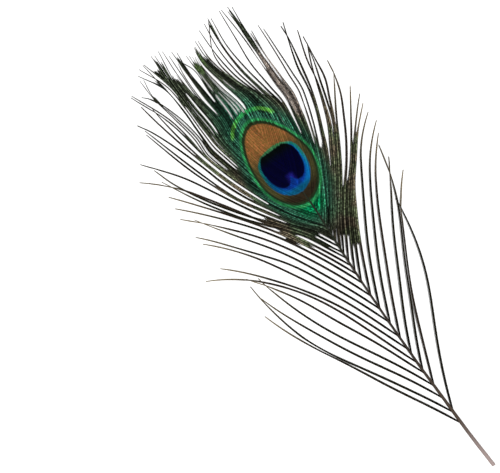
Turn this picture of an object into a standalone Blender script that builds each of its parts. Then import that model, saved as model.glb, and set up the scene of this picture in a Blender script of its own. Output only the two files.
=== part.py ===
"""A shed peacock eye feather that lies on a table, face up, as one fused solid.

The quill's cut end points to -Y and the tips to +Y. The shaft is bowed and the vane is arched, so the
feather rests on the quill's flat underside and on the drooping tips of its outer locks.
"""

import math

import bmesh
import bpy
import numpy as np

MM = 0.001

# Millimetres from here on. Y is measured from the quill's cut end and X from the cut end's middle.
CENTRE_X = -6.5
CENTRE_Y = 128.4

# The shaft: stations from the cut end to its end inside the eye.
SHAFT_Y = (0, 6, 12, 20, 32, 45, 60, 75, 90, 105, 125, 150, 178, 204)
SHAFT_X = (0, -0.3, -0.65, -1, -1.3, -1.6, -2, -2, -2, -1.8, -1.2, 0, -0.2, -0.6)
SHAFT_RADIUS = (0.95, 0.95, 0.93, 0.88, 0.8, 0.72, 0.64, 0.58, 0.54, 0.5, 0.48, 0.46, 0.44, 0.42)
SHAFT_SIDES = 8

# The arch of the whole feather over the table.
ARCH_BASE = 0.5
ARCH_RISE = 6.6
ARCH_START = 10
ARCH_SPAN = 262
ARCH_POWER = 1.2
ARCH_LEFT = 55.2
ARCH_RIGHT = 49.2

# Locks of barbs, from the quill upwards: root height, how far out and how high the tip lies, how far
# the tip leans outwards in degrees, and how far its last part curls out.
LEFT_LOCKS = (
    (25.5, 49.2, 122.3, 20, 0),
    (32, 47.2, 138, 2, 0),
    (40.5, 46, 131, 16, 0),
    (48, 42, 139, 12, 0),
    (55.5, 46, 142.5, 34, 0),
    (62, 63, 152.5, 66, 0),
    (70, 54, 153.3, 50, 0),
    (77.5, 54, 168, 44, 0),
    (86, 55.2, 172.4, 46, 0),
    (93.5, 50.5, 180, 36, 0),
    (101, 55.6, 184.5, 45, 0),
    (108.5, 55.2, 189.8, 46, 0),
    (113.7, 54.4, 196.2, 40, 0),
    (118.6, 56.3, 211.5, 30, 5.5),
    (123.2, 53, 204, 24, 0),
    (126.6, 54.5, 210.4, 24, -1.5),
    (129.5, 50, 218.6, 20, 6.5),
    (132, 44.5, 227, 12, 1.5),
    (134.2, 44, 229, 12, 1.5),
    (136.2, 43, 233, 12, 4),
    (138, 40.4, 239.4, 9, 0),
    (139.6, 36.4, 235, 4, 0),
    (141.2, 36.5, 247.5, 9, 5.3),
    (142.7, 35, 248, 8, 6.2),
    (144.1, 33.7, 249.6, 5, 0),
    (145.4, 32.2, 249.2, 4, 0),
    (146.6, 26.3, 254, 1, 6.7),
    (147.7, 25, 255.2, 0, 6),
    (148.8, 24, 256.5, 0, 4.3),
    (149.9, 22.6, 256.8, 0, 0),
    (151.1, 21, 256, -2, 0),
    (152.4, 18.4, 256.4, -6, 0),
    (153.8, 16.8, 254.4, -4, 0),
    (155.4, 14.8, 251.4, -6, 0),
    (157.2, 13.3, 252.6, -6, 0),
    (159.3, 11.4, 250.8, -6, 0),
    (161.7, 9.8, 249, -2, 0),
    (164.5, 8.5, 247, 0, 0),
    (168, 7.2, 246.3, 0, 0),
    (173, 6, 244.5, 0, 0),
    (180, 4.8, 243.5, 0, 0),
    (188, 3, 248.5, -4, 0),
    (196, 0.6, 250.8, -4, 0),
)
RIGHT_LOCKS = (
    (32.5, 35.3, 132.7, 6, 0),
    (48.5, 42.3, 142.9, 31, 3.6),
    (57.5, 43.5, 158.5, 14, 0),
    (67, 43.4, 151.5, 29, 0),
    (76.5, 44.5, 163.9, 34, 1.9),
    (85, 47.3, 169.3, 41, 2),
    (94, 44.8, 175.2, 38, 3.7),
    (103, 47, 179.9, 43, 1.8),
    (110, 50, 184.2, 42, 0),
    (115.5, 48.4, 189.6, 32, 0),
    (121, 45.5, 199.5, 34, 0),
    (125.5, 46.3, 206.3, 8, 0),
    (129.5, 43.3, 222.5, 2, 0),
    (132, 42.8, 226.5, 14, 0),
    (134.2, 40, 214.5, 22, 2),
    (136.2, 39.2, 233.6, 12, 0),
    (138.2, 37.3, 233, 4, 0),
    (140, 29.6, 236.5, -1, 0),
    (141.8, 28.5, 239.5, 2, 0),
    (143.4, 24.4, 239, 2, 0),
    (145, 23, 238.5, 0, 0),
    (146.4, 23.1, 254, 4, 0),
    (147.8, 21.4, 255.2, 0, 0),
    (149.2, 20.4, 254, -3, 0),
    (150.6, 18, 256, -4, 0),
    (152.2, 16.8, 255.8, 5, 0),
    (154, 10.4, 255.2, 0, 1.5),
    (156.2, 8.5, 256.2, -2, 2),
    (159, 6, 254.8, -4, 1.7),
    (163, 2.5, 253.8, -8, 7.5),
    (168, 3.9, 253.6, -4, 0),
    (175, 0.5, 250, -4, 0),
    (183, -0.6, 250.8, -8, 0),
)

# How far a lock leans away from the shaft where it leaves it, by the height of its root.
LEAN_Y = (25, 40, 70, 100, 115, 125, 135, 142, 150, 160, 175, 200)
LEFT_LEAN = (26, 24, 21, 20, 23, 29, 38, 44, 44, 36, 20, 4)
RIGHT_LEAN = (16, 19, 22, 22, 25, 32, 38, 43, 44, 36, 20, 4)
HANDLE = 0.36
CURL_START = 0.78
CURL_DROP = 0.25

# A lock's cross-section is a flat diamond that thins out to a point.
LOCK_STEPS = 7
LOCK_PLACE = (0, 0.06, 0.8, 0.93, 1)
LOCK_HALF_WIDTH = (0.4, 0.62, 0.58, 0.42, 0.1)
LOCK_HALF_HEIGHT = (0.26, 0.42, 0.4, 0.3, 0.1)

# The closed vane that carries the eye: its edges at each height, and its top.
VANE_Y = (124, 130, 137, 144, 151, 158, 166, 174, 182, 190, 198, 206)
VANE_LEFT = (-2.6, -5.5, -10.5, -15, -19.5, -22.5, -22.5, -21.5, -21.8, -21.8, -20.8, -19)
VANE_RIGHT = (0.4, 3.8, 9.5, 14.5, 19, 22.5, 24, 23, 20.5, 18.8, 17.8, 16.8)
VANE_COLUMNS = 6
VANE_TOP = (216, 218, 213, 210.5, 214, 220, 211)
VANE_TOP_PULL = 0.8
VANE_THICKNESS = 0.7


def clear_scene():
    for obj in list(bpy.data.objects):
        bpy.data.objects.remove(obj, do_unlink=True)


def arch(x, y):
    """Height of the feather's middle sheet over the table."""
    along = np.clip((y - ARCH_START) / ARCH_SPAN, 0, 1)
    crown = ARCH_BASE + ARCH_RISE * np.sin(math.pi * along) ** ARCH_POWER
    across = np.where(np.asarray(x) < 0, np.abs(x) / ARCH_LEFT, np.abs(x) / ARCH_RIGHT)
    return crown * (1 - np.minimum(across, 1) ** 2)


def to_world(x, y, z):
    return ((x - CENTRE_X) * MM, (y - CENTRE_Y) * MM, z * MM)


def object_from(bm, name):
    bmesh.ops.recalc_face_normals(bm, faces=bm.faces)
    mesh = bpy.data.meshes.new(name)
    bm.to_mesh(mesh)
    bm.free()
    obj = bpy.data.objects.new(name, mesh)
    bpy.context.scene.collection.objects.link(obj)
    return obj


def join_rings(bm, rings):
    """Side faces between rings of equal length."""
    for low, high in zip(rings, rings[1:]):
        for i in range(len(low)):
            j = (i + 1) % len(low)
            bm.faces.new((low[i], low[j], high[j], high[i]))


def make_shaft():
    """An eight-sided tapering rod; one of its sides is the flat underside at the quill."""
    bm = bmesh.new()
    rings = []
    half_step = math.pi / SHAFT_SIDES
    for x, y, radius in zip(SHAFT_X, SHAFT_Y, SHAFT_RADIUS):
        middle = max(float(arch(0, y)), radius * math.cos(half_step))
        ring = []
        for i in range(SHAFT_SIDES):
            angle = 2 * half_step * (i + 0.5)
            across = x + radius * math.sin(angle)
            up = middle - radius * math.cos(angle)
            ring.append(bm.verts.new(to_world(across, y, up)))
        rings.append(ring)
    join_rings(bm, rings)
    bm.faces.new(rings[0])
    bm.faces.new(rings[-1])
    return object_from(bm, "feather")


def lock_line(side, lock, lean_table):
    """Points of a lock's middle line, from the middle of the shaft to the tip."""
    root_y, out, tip_y, tip_lean, curl = lock
    lean = math.radians(float(np.interp(root_y, LEAN_Y, lean_table)))
    end_lean = math.radians(tip_lean)
    root = np.array([side * np.interp(root_y, SHAFT_Y, SHAFT_X), root_y])
    tip = np.array([out, tip_y])
    handle = HANDLE * np.linalg.norm(tip - root)
    second = root + handle * np.array([math.sin(lean), math.cos(lean)])
    third = tip - handle * np.array([math.sin(end_lean), math.cos(end_lean)])
    t = np.linspace(0, 1, LOCK_STEPS + 1)[:, None]
    line = (1 - t) ** 3 * root + 3 * (1 - t) ** 2 * t * second
    line += 3 * (1 - t) * t**2 * third + t**3 * tip
    bend = np.clip((t - CURL_START) / (1 - CURL_START), 0, 1) ** 2
    line += bend * curl * np.array([1, -CURL_DROP])
    line[:, 0] *= side
    return line


def add_lock(bm, line):
    """One closed tapering strip along the line, pointed at its tip."""
    place = np.linspace(0, 1, len(line))
    half_width = np.interp(place, LOCK_PLACE, LOCK_HALF_WIDTH)
    half_height = np.interp(place, LOCK_PLACE, LOCK_HALF_HEIGHT)
    along = np.gradient(line, axis=0)
    along /= np.linalg.norm(along, axis=1)[:, None]
    middle = np.maximum(arch(line[:, 0], line[:, 1]), half_height)
    rings = []
    for i in range(len(line) - 1):
        x, y = line[i]
        side_x = along[i, 1] * half_width[i]
        side_y = -along[i, 0] * half_width[i]
        corners = (
            (x - side_x, y - side_y, middle[i]),
            (x, y, middle[i] + half_height[i]),
            (x + side_x, y + side_y, middle[i]),
            (x, y, middle[i] - half_height[i]),
        )
        rings.append([bm.verts.new(to_world(*corner)) for corner in corners])
    join_rings(bm, rings)
    bm.faces.new(rings[0])
    tip = bm.verts.new(to_world(line[-1, 0], line[-1, 1], arch(line[-1, 0], line[-1, 1])))
    last = rings[-1]
    for i in range(len(last)):
        bm.faces.new((last[i], last[(i + 1) % len(last)], tip))


def make_locks():
    bm = bmesh.new()
    for lock in LEFT_LOCKS:
        add_lock(bm, lock_line(-1, lock, LEFT_LEAN))
    for lock in RIGHT_LOCKS:
        add_lock(bm, lock_line(1, lock, RIGHT_LEAN))
    return object_from(bm, "locks")


def vane_points():
    """Rows of points across the vane, from its foot on the shaft to its ragged top."""
    share = np.linspace(0, 1, VANE_COLUMNS + 1)
    rows = []
    for y, left, right in zip(VANE_Y, VANE_LEFT, VANE_RIGHT):
        rows.append([(left + s * (right - left), y) for s in share])
    left, right = VANE_LEFT[-1] * VANE_TOP_PULL, VANE_RIGHT[-1] * VANE_TOP_PULL
    rows.append([(left + s * (right - left), top) for s, top in zip(share, VANE_TOP)])
    return rows


def make_vane():
    """A thin arched plate, its thickness split evenly about the middle sheet."""
    bm = bmesh.new()
    grid = [[bm.verts.new(to_world(x, y, arch(x, y))) for x, y in row] for row in vane_points()]
    for low, high in zip(grid, grid[1:]):
        for i in range(VANE_COLUMNS):
            bm.faces.new((low[i], low[i + 1], high[i + 1], high[i]))
    vane = object_from(bm, "vane")
    solidify = vane.modifiers.new("thickness", "SOLIDIFY")
    solidify.thickness = VANE_THICKNESS * MM
    solidify.offset = 0
    return vane


def fuse(body, tool):
    """Joins the tool to the body and leaves the tool as a hidden guide."""
    union = body.modifiers.new(f"with_{tool.name}", "BOOLEAN")
    union.operation = "UNION"
    union.solver = "EXACT"
    union.use_self = True
    union.object = tool
    tool.hide_render = True
    tool.display_type = "WIRE"


def give_material(obj):
    material = bpy.data.materials.new("feather")
    material.use_nodes = True
    shader = material.node_tree.nodes["Principled BSDF"]
    shader.inputs["Base Color"].default_value = (0.045, 0.05, 0.032, 1)
    shader.inputs["Roughness"].default_value = 0.6
    shader.inputs["Metallic"].default_value = 0
    obj.data.materials.append(material)


def main():
    clear_scene()
    feather = make_shaft()
    give_material(feather)
    fuse(feather, make_vane())
    fuse(feather, make_locks())
    feather.data.shade_smooth()
    feather.data.set_sharp_from_angle(angle=math.radians(35))


main()
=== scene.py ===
"""A shed peacock eye feather, face up on a pale table: its quill, its loose barbs and its eye.

Lengths in the tables are millimetres on the feather itself: y runs up the shaft from the quill's cut end
and x runs to the feather's right, from the cut end's middle. Every barb is one line, laid over the vane's
arch, on which a node tree grows the rod, the web beside it and the barbules.
"""
import math
from functools import partial, reduce
from typing import NamedTuple

import bmesh
import bpy
import numpy as np
from bpy.props import FloatProperty, FloatVectorProperty, IntProperty, PointerProperty
from bpy.types import NodeSocket
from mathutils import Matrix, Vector


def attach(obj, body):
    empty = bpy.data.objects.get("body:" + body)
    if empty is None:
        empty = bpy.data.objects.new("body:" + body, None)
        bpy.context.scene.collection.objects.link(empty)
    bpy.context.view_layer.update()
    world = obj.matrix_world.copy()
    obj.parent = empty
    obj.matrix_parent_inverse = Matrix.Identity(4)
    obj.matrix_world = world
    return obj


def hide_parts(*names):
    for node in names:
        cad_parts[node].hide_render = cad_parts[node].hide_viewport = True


bl_info = {
    "name": "Peacock eye feather",
    "version": (1, 0, 0),
    "blender": (4, 5, 0),
    "location": "View3D > Sidebar > Feather",
    "description": "Makes a peacock eye feather barb by barb, with its pale table and soft light",
    "category": "Add Mesh",
}

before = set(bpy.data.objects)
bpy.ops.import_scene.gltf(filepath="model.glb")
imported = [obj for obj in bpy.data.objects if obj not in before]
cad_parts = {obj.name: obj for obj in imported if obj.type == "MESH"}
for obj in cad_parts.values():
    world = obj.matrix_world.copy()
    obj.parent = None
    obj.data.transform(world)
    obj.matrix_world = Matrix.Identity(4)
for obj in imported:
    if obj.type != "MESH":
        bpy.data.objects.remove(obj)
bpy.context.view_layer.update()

MM = 0.001

UP = (0, 0, 1)

# The place on the feather that lies in the middle of the frame.
CENTRE_X = -6.5
CENTRE_Y = 128.4
# The shaft: places along it, how far it bows to the side there, and its radius.
SHAFT_Y = (0, 6, 12, 20, 32, 45, 60, 75, 90, 105, 125, 150, 178, 204)
SHAFT_X = (0, -0.3, -0.65, -1, -1.3, -1.6, -2, -2, -2, -1.8, -1.2, 0, -0.2, -0.6)
SHAFT_RADIUS = (0.95, 0.95, 0.93, 0.88, 0.8, 0.72, 0.64, 0.58, 0.54, 0.5, 0.48, 0.46, 0.44, 0.42)
# The quill: its sides, the step from ring to ring, where and how far it sinks into the vane, how far down its
# flat underside lies, and from which angle on an edge is sharp.
QUILL_SIDES = 16
QUILL_STEP = 3
SHAFT_SINK = (152, 166, 0.55)
QUILL_FLAT = math.cos(math.pi / 8)
QUILL_SHARP = math.radians(50)
# The groove along its underside: depth, where it begins and how narrow it is. Then the cut end's rim and pit.
GROOVE = 0.16
GROOVE_START = (18, 40)
GROOVE_POWER = 6
RIM_SHARE = 0.72
PIT_SHARE = 0.6
PIT_DEPTH = 0.9

# The vane's arch: its height falls to the table at both sides and at both ends.
ARCH_BASE = 0.5
ARCH_RISE = 6.6
ARCH_START = 10
ARCH_SPAN = 262
ARCH_POWER = 1.2
ARCH_LEFT = 55.2
ARCH_RIGHT = 49.2

# Barbs from the quill up: root height on the shaft, how far out and how high the tip lies, how many
# degrees the tip leans outwards, and how far the last part curls out. A last pair says between which
# heights barbules close the gap to the next barb.
LEFT_BARBS = (
    (25.5, 49.2, 122.3, 20, 0),
    (32, 47.2, 138, 2, 0),
    (40.5, 46, 131, 16, 0),
    (48, 42, 139, 12, 0),
    (55.5, 46, 142.5, 34, 0),
    (62, 63, 152.5, 66, 0),
    (70, 54, 153.3, 50, 0),
    (77.5, 54, 168, 44, 0),
    (86, 55.2, 172.4, 46, 0),
    (93.5, 50.5, 180, 36, 0),
    (101, 55.6, 184.5, 45, 0),
    (108.5, 55.2, 189.8, 46, 0, (142.5, 148)),
    (113.7, 54.4, 196.2, 40, 0, (138.5, 152)),
    (118.6, 56.3, 211.5, 30, 5.5, (147.5, 158)),
)
RIGHT_BARBS = (
    (32.5, 35.3, 132.7, 6, 0),
    (48.5, 42.3, 142.9, 31, 3.6),
    (57.5, 43.5, 158.5, 14, 0),
    (67, 43.4, 151.5, 29, 0),
    (76.5, 44.5, 163.9, 34, 1.9),
    (85, 47.3, 169.3, 41, 2),
    (94, 44.8, 175.2, 38, 3.7),
)
# Barbs beside the eye: root height, how far to the right they pass at those of the heights that lie
# PASS_ROOM over the root and under the tip, where the tip lies, and between which heights the gap to the next
# barb is closed.
PASS_ROOM = (4, 2)
LEFT_FAN_HEIGHTS = (131, 137, 143, 150, 165, 175, 185, 200, 226)
LEFT_FAN = (
    (123.2, -5.2, -8.1, -11.5, -16.8, -29.4, -36.4, -42.7, -51, -53, 204, 133, 157.6),
    (126.2, -3.8, -6.7, -10, -15.2, -27, -34.3, -41, -49, -52.8, 210.8, 141, 161),
    (129.6, -4.8, -8, -13.3, -23.7, -29.5, -34.9, -43.5, -56.6, 216.9, 141.5, 154),
    (133, -6, -11.8, -21.5, -27.6, -32.2, -38.2, -46, 227, 134, 187),
    (135, -5.2, -10.9, -20.9, -27, -31.4, -36.5, -44.6, -45.5, 229, 136, 159.5),
    (137, -4.3, -9.9, -18.9, -24.3, -28.6, -33.2, -43, -47, 233, 138, 170.5),
    (138.6, -3.3, -9.2, -18.1, -22.9, -26.7, -31.3, -37.8, -40.4, 239.4, 141.3, 205),
    (140, -8.4, -17.5, -22, -25.9, -30.5, -35.4, -36.4, 235, 141, 167),
    (141.4, -7.3, -15.7, -19.9, -23.8, -28.3, -33.6, -41.8, 246, 142, 215),
    (142.8, -6.4, -15.2, -19.5, -23.3, -28, -32.6, -41.2, 246.5, 143, 204),
)
RIGHT_FAN_HEIGHTS = (130, 140, 150, 160, 170, 180, 190, 200, 212, 226)
RIGHT_FAN = (
    (101.8, 10.8, 16.3, 22.4, 30.4, 38.6, 48.6, 179.6, 126.5, 171),
    (110, 8.4, 14.2, 20.5, 28.9, 36.9, 45.8, 49.9, 184.2, 127, 167),
    (115.5, 6.1, 12.1, 19, 27.5, 34.8, 41.6, 48.3, 190, 132.5, 152.8),
    (121, 3.7, 9.4, 16.7, 24.8, 31.7, 37.4, 42.5, 45.3, 46.3, 206.3, 133.5, 153.3),
    (125.3, 1.5, 7.3, 14.7, 21.6, 27.6, 33.2, 39.3, 45.4, 199.6, 134.8, 178),
    (128.2, 5.8, 13.3, 20.3, 26.4, 32, 36.2, 40.4, 41.9, 43.3, 222.5, 129, 188),
    (129.3, 5.1, 12.2, 19, 25.2, 31.2, 34.7, 37.7, 41.4, 42.5, 217.5, 138.8, 175.5),
    (132.2, 3.7, 10.9, 17.8, 23.9, 29.6, 33, 36, 38.3, 42.8, 226.5, 133, 195),
    (133.3, 3.1, 9.8, 16.5, 22.6, 28.3, 32.4, 35.8, 40, 43, 218.6, 139.3, 166),
    (136, 8.6, 15.2, 20.6, 24.7, 28.7, 31.9, 34.5, 36.9, 37.3, 232.8, 137, 197),
    (137.2, 7.5, 14, 19.6, 24, 28.1, 30.9, 32.6, 36.8, 39.2, 233.6, 141.3, 173.5),
)
# Barbs of the eye and its crown: root height, how far to the right they pass at their heights, where the tip
# lies, and up to which height the gap to the next barb is closed. Pairs after that say from where to where
# it closes again.
CROWN_HEIGHTS = (200, 212, 226, 240)
LEFT_CROWN = (
    (144.1, -27.8, -28.2, -30.6, -33.2, -33.7, 250, (194,)),
    (145.2, -26.9, -27.1, -29.8, -33, -31.9, 249.4, (190, 236, 240)),
    (146, -25.4, -25.9, -28.6, -34.6, -37.5, 243, (208,)),
    (146.7, -24.7, -24.8, -24.8, -26.2, -33, 252.5, (245,)),
    (147.6, -23.6, -24.4, -24.5, -25.9, -28.2, 255.4, (188,)),
    (148.5, -22.1, -23.1, -23.3, -24.5, -30.8, 254.8, (188.5, 228, 232)),
    (149.3, -20.7, -21.9, -22.3, -23.4, -27.6, 255.4, (249,)),
    (150.1, -20.55, -21.6, -22.1, -22.9, -23.6, 249.6, (249,)),
    (150.9, -20.4, -21.3, -21.9, -22.4, -22.4, 256.8, (253,)),
    (151.7, -20.2, -21, -21.7, -21.9, -21.6, 253, (193, 211, 219, 226, 242)),
    (152.5, -19.2, -20.1, -21.1, -21.3, -20.8, 256, (250,)),
    (153.3, -18.9, -19.7, -20.7, -20.7, -20, 251.6, (206, 231, 241)),
    (154.1, -18.3, -18.6, -19.8, -20.1, -18.2, 256.6, (241,)),
    (154.9, -17.7, -18, -19.2, -19.5, -19.3, 243, (207, 233, 241)),
    (155.8, -17, -16.7, -17.8, -19, 241, (239,)),
    (156.8, -16.3, -15.8, -17.2, -18.3, 240.4, (237,)),
    (157.9, -15.6, -15, -16.6, -17.6, 242, (236,)),
    (159.1, -14.9, -14.2, -16, -17.1, -16.6, 255.4, (229,)),
    (160.4, -14.2, -13.4, -15.3, -15.4, -15.2, 252, (226,)),
    (161.8, -13.4, -12.6, -14.6, -14.7, -13.7, 246.4, (215,)),
    (163.3, -12.3, -11.6, -12.7, -13, -13.1, 252.8, (236, 240, 249)),
    (164.9, -11.5, -10.8, -11.8, -12.4, -12.4, 249, (236, 240, 247)),
    (166.6, -10.6, -9.9, -10.8, -11.8, -11.2, 251, (221,)),
    (168.5, -9.6, -9, -9.2, -9.4, -11.8, 245.4, (234,)),
    (170.7, -8.7, -7.9, -8.3, -8.3, -8.4, 247, (209, 224.4, 225.6, 237, 241.5)),
    (173.3, -7.4, -6.4, -7, -7.5, -7.2, 246.2, (242,)),
    (176.7, -6.2, -5.1, -6.3, -6.6, -6.2, 244.8, (209, 225, 241)),
    (181.5, -5, -3.6, -5.5, -5.9, -5.7, 243.4, (209.5, 225, 238)),
    (188, -3.6, -2, -4.9, -5.6, -5.2, 244.4, (208, 237.5, 238.5)),
    (196, -0.3, -3.3, -5, -4.6, 243.2, ()),
)
RIGHT_CROWN = (
    (140, 28, 28.9, 29.4, 29.7, 236.4, (182,)),
    (141.7, 26, 27, 28, 28.5, 239.4, (176,)),
    (143.1, 23.4, 23.5, 23.2, 24.4, 239, (232,)),
    (144.4, 23, 23.1, 23.1, 23.4, 238.2, (211,)),
    (145.6, 22.1, 22, 21.8, 22.1, 23.3, 254, (223, 228, 244)),
    (146.8, 21.6, 21.6, 21.7, 21.8, 21.5, 255.2, (252,)),
    (147.9, 20.9, 20.9, 21.2, 21.4, 21.2, 253.4, (250,)),
    (149, 20.2, 20.2, 20.7, 21, 20.4, 253.2, (246,)),
    (150.1, 19.6, 19.6, 20.2, 20.6, 20.8, 247.6, (219,)),
    (151.2, 19, 19, 19.2, 19.2, 18.2, 255.6, (185,)),
    (152.5, 17.1, 16.2, 15, 16, 17.1, 255.8, (205,)),
    (153.9, 15.8, 14.1, 11.7, 10.5, 11.8, 255, (211,)),
    (155.5, 14.6, 12.5, 9.7, 8.8, 10.5, 256, (229, 246, 254)),
    (157.3, 13.8, 11.7, 9.2, 8.4, 9.3, 253.6, (209,)),
    (159.4, 12.6, 10.5, 7.4, 6.2, 7.6, 254.8, (192, 201, 213)),
    (162, 11.5, 9.5, 5.5, 3.8, 3.8, 253.6, (216,)),
    (165.5, 10.4, 8.8, 3.9, 2.9, 10.3, 255.2, (227,)),
    (169.5, 9.2, 7.9, 3.1, 0.1, 0.4, 249.8, (230.5, 240, 241)),
    (174, 7.8, 6.9, 2.3, -0.9, -0.8, 250.6, (238.6,)),
    (179, 6.3, 5.9, 1.6, -1.7, 242, (240.5,)),
    (184, 4.9, 5, 1, -2.3, -2.1, 245.6, (244,)),
    (188.5, 3.5, 4, 0.4, -2.75, -2.4, 248, (219.5, 228.5, 246)),
    (193, 2.1, 3, -0.7, -3.2, -2.7, 248.6, (246.5,)),
    (197.5, 2, -1.2, -3.65, -3.1, 248, (245.5,)),
    (202, 1, -1.7, -4.1, -3.7, 246.4, ()),
)
# How many degrees a barb leans away from the shaft at its root, at these heights.
LEAN_Y = (25, 40, 70, 100, 115, 125, 135, 142, 150, 160, 175, 200)
LEFT_LEAN = (26, 24, 21, 20, 23, 26, 27, 36, 44, 36, 20, 4)
RIGHT_LEAN = (16, 19, 22, 22, 25, 27, 28, 36, 44, 36, 20, 4)
# A loose barb's line: how long its curve's handles are, and where its curl starts and how much it drops.
HANDLE = 0.36
CURL_START = 0.78
CURL_DROP = 0.25
# How many steps a line has.
LINE_STEPS = 44

# A gap closes and opens again over these lengths. Where a closed gap is wider than CLOSE_GAP, more barbs
# grow in it and end where it opens, or a few steps later.
CLOSE_EDGE = (1.5, 1.6)
CLOSE_GAP = 1.3
FILLER_STEPS = 3
FILLER_ROD = 0.05
# A strip of close barbules laps over half of a closed gap, and takes only a share of an open one. In the
# crown that share is less for barbs whose second pass is closer to the shaft than CROWN_INNER.
CLOSED_LAP = 0.58
CLOSED_MOST = 0.8
OPEN_SHARE = 0.3
OPEN_LEAST = 0.12
FILLER_LEAST = 0.03
CROWN_INNER = 8.5
CROWN_SHARE = (0.19, 0.35)
CROWN_MOST = 0.34
# How far free barbules may reach: a share of an open gap, and this much over a closed one.
OPEN_FRINGE = 0.15
CLOSED_ROOM = 9.0
# Between these heights the innermost barbs of both sides lie closed over the shaft's end.
EYE_CLOSED = (150, 208.5)
# The free barbules' length for each millimetre that the strip reaches.
LOOSE_FRINGE = 2.1
EYE_FRINGE = 1.3
SHAGGY_FRINGE = 2.6
# Inside this oval the barbules lie smooth, and outside it they stand out.
EYE_CENTRE = (-0.4, 178)
EYE_REACH = (17, 26)
EYE_EDGE = (1, 1.3)
# A lock whose barbules are so sparse that the table shows through it: from, to and half its width.
AIRY = ((21.2, 196), (21.2, 228), 4)
AIRY_EDGE = (0.7, 1.2)
AIRY_SHARE = 0.6
AIRY_MATTED = 0.5

# A barb narrows towards its tip, less so where it lies closed, and over its first few millimetres.
TAPER_PLACE = (0, 0.3, 0.5, 0.75, 0.95, 1)
TAPER_SHARE = (1, 1, 0.95, 0.85, 0.6, 0.4)
TAPER_CLOSED = 0.9
ROOT_LENGTH = 9
ROOT_SHARE = 0.7
ROOT_FRINGE = 0.25
# A loose barb wavers a little to each side, and only by a share of that where it lies closed. The waver
# grows up to WAVE_FULL of its length, and has this many waves.
WAVE = 0.5
WAVE_CLOSED = 0.4
WAVE_FULL = 0.7
WAVES = (0.9, 1.9)
# A barb rises or sinks to its own level over its first part, and its rod stays clear of the table.
LIFT_START = 0.1
TABLE_GAP = 0.05
# How far out a barb's tip lies to be worn pale, and from which height on it isn't.
PALE_OUT = (34, 48)
PALE_UP = (195, 225)

# The barbs' node tree: the inputs and their defaults, how many sides a rod has, how far out on the web a rod
# and a strip reach, and how much barbules rise and are flattened. CHART_SHARE is a web's share of its row in
# the bake's chart.
TREE_INPUTS = (
    ("Rod step", 1.5 * MM),
    ("Pitch", 0.3 * MM),
    ("Barbule width", 0.1 * MM),
    ("Barbule angle", math.radians(38)),
    ("Unevenness", 0.16),
    ("Web thickness", 0.16),
    ("Rows", 1.0),
)
ROD_SIDES = 5
ROD_ACROSS = 0.25
STRIP_ACROSS = 0.9
BARBULE_RISE = (-0.12, 0.2)
BARBULE_FLAT = 0.6
CHART_SHARE = 0.32

# The eye's parts are eggs: middle, half width, reach upwards and downwards, and how pointed both ends are.
EYE_MIDDLE = (-0.4, 176)
EYE_POINTS = (1.68, 1.9)
OVAL = (EYE_MIDDLE, 14, 25.4, 19.2, EYE_POINTS)
RING = (EYE_MIDDLE, 15.3, 27.3, 21.2, EYE_POINTS)
HALO = ((-0.6, 176), 20, 47, 37, (1.8, 1.5))
FAN = (EYE_MIDDLE, 16.6, 60, 30, (2, 1.9))
SPOT = ((-0.6, 176.5), 11.5, 11.1, 15, (3.2, 2.2))
TUFT = ((-5.8, 240.5), 3.2, 5, 5, (2, 2))
# Above the first height the oval and the ring lean to the left by this slope, and the halo does so more.
EYE_LEAN = (178, 0.085)
HALO_LEAN = (192, 0.2)
# The crescent: its middle, between which distances from it the crescent lies, and its leaf green ends: their
# middle, and how far from it they begin and are full.
CRESCENT_MIDDLE = (-1.55, 195.6)
CRESCENT_REACH = (12.2, 13.2)
CRESCENT_ENDS = (-1.5, (3, 9))
# The heart: its middle, where the lobes below and the corners above lie, and how far each reaches.
HEART_MIDDLE = (-0.8, 177.5)
LOBE = 3.6
LOBE_REACH = (4.6, 6.2, 10.5)
CORNER = 5
CORNER_REACH = (5, 8.6)
# The worn lock to the right of the eye and, right of the crown's middle, the brighter crest: from where to
# where they lie across and along, and how the crest slants.
ASH_LOCK = ((19.3, 23.3, 0.5), (196, 224, 8))
CREST = ((1.2, 6.2, 0.6), (214, 246, 6))
CREST_SLANT = (212, 0.17)

# How bright a barb is, by the streaks that barbules make across it, by flecks and by its own tone: the least
# and what is added at most. Each is given for a loose barb and for one that is matted or lies by the eye.
HATCH_LIGHT = ((0.55, 0.1), (0.9, 1.9))
FLECK_LIGHT = ((0.5, 0.2), (1.0, 1.7))
TONE_LIGHT = ((0.8, 0.28), (0.35, 1.65))
BARB_LIGHT = 0.76
# How far each streak slants forward and how many lie in a millimetre. Dashes run along a barb more slowly.
# The last two set the streaks and the dashes of neighbouring barbs apart.
HATCH_SLANT = 0.6
HATCH_STEPS = 2.6
DASH_STEPS = 0.8
HATCH_ROW = 7.3
DASH_ROW = 5.1
# The quill's colours: between which heights it darkens, turns from brown to black and takes on the eye's
# green, and how its streaks are drawn out along it.
QUILL_DARK = (-2, 32)
QUILL_BLACK = (35, 75)
QUILL_GREEN = (112, 142)
QUILL_GRAIN = (3, 0.12, 3)

# The view: the picture's centre on the table, its turn, and its width at a height that the vane reaches.
VIEW_CENTRE = (-26.65, 29.7)
VIEW_TURN = -35
VIEW_WIDTH = 240
VIEW_HEIGHT = 5
LENS = 100
SENSOR = 36
# Half the table's side in metres, and which way the light of the two lamps falls.
TABLE_HALF = 3
SHADOW_FALL = (2.5, 1.0, -6)
STEEP_FALL = (0, 0, -1)


def rgb(red, green, blue):
    """A colour read as 0 to 255 on a screen, in the linear values that shaders take."""
    shares = (red / 255, green / 255, blue / 255)
    return tuple(s / 12.92 if s <= 0.04045 else ((s + 0.055) / 1.055) ** 2.4 for s in shares)


def length(name, default, description):
    """A size in metres that the sidebar shows as a length."""
    return FloatProperty(
        name=name, description=description, default=default, min=0, precision=5, subtype="DISTANCE", unit="LENGTH"
    )


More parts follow.
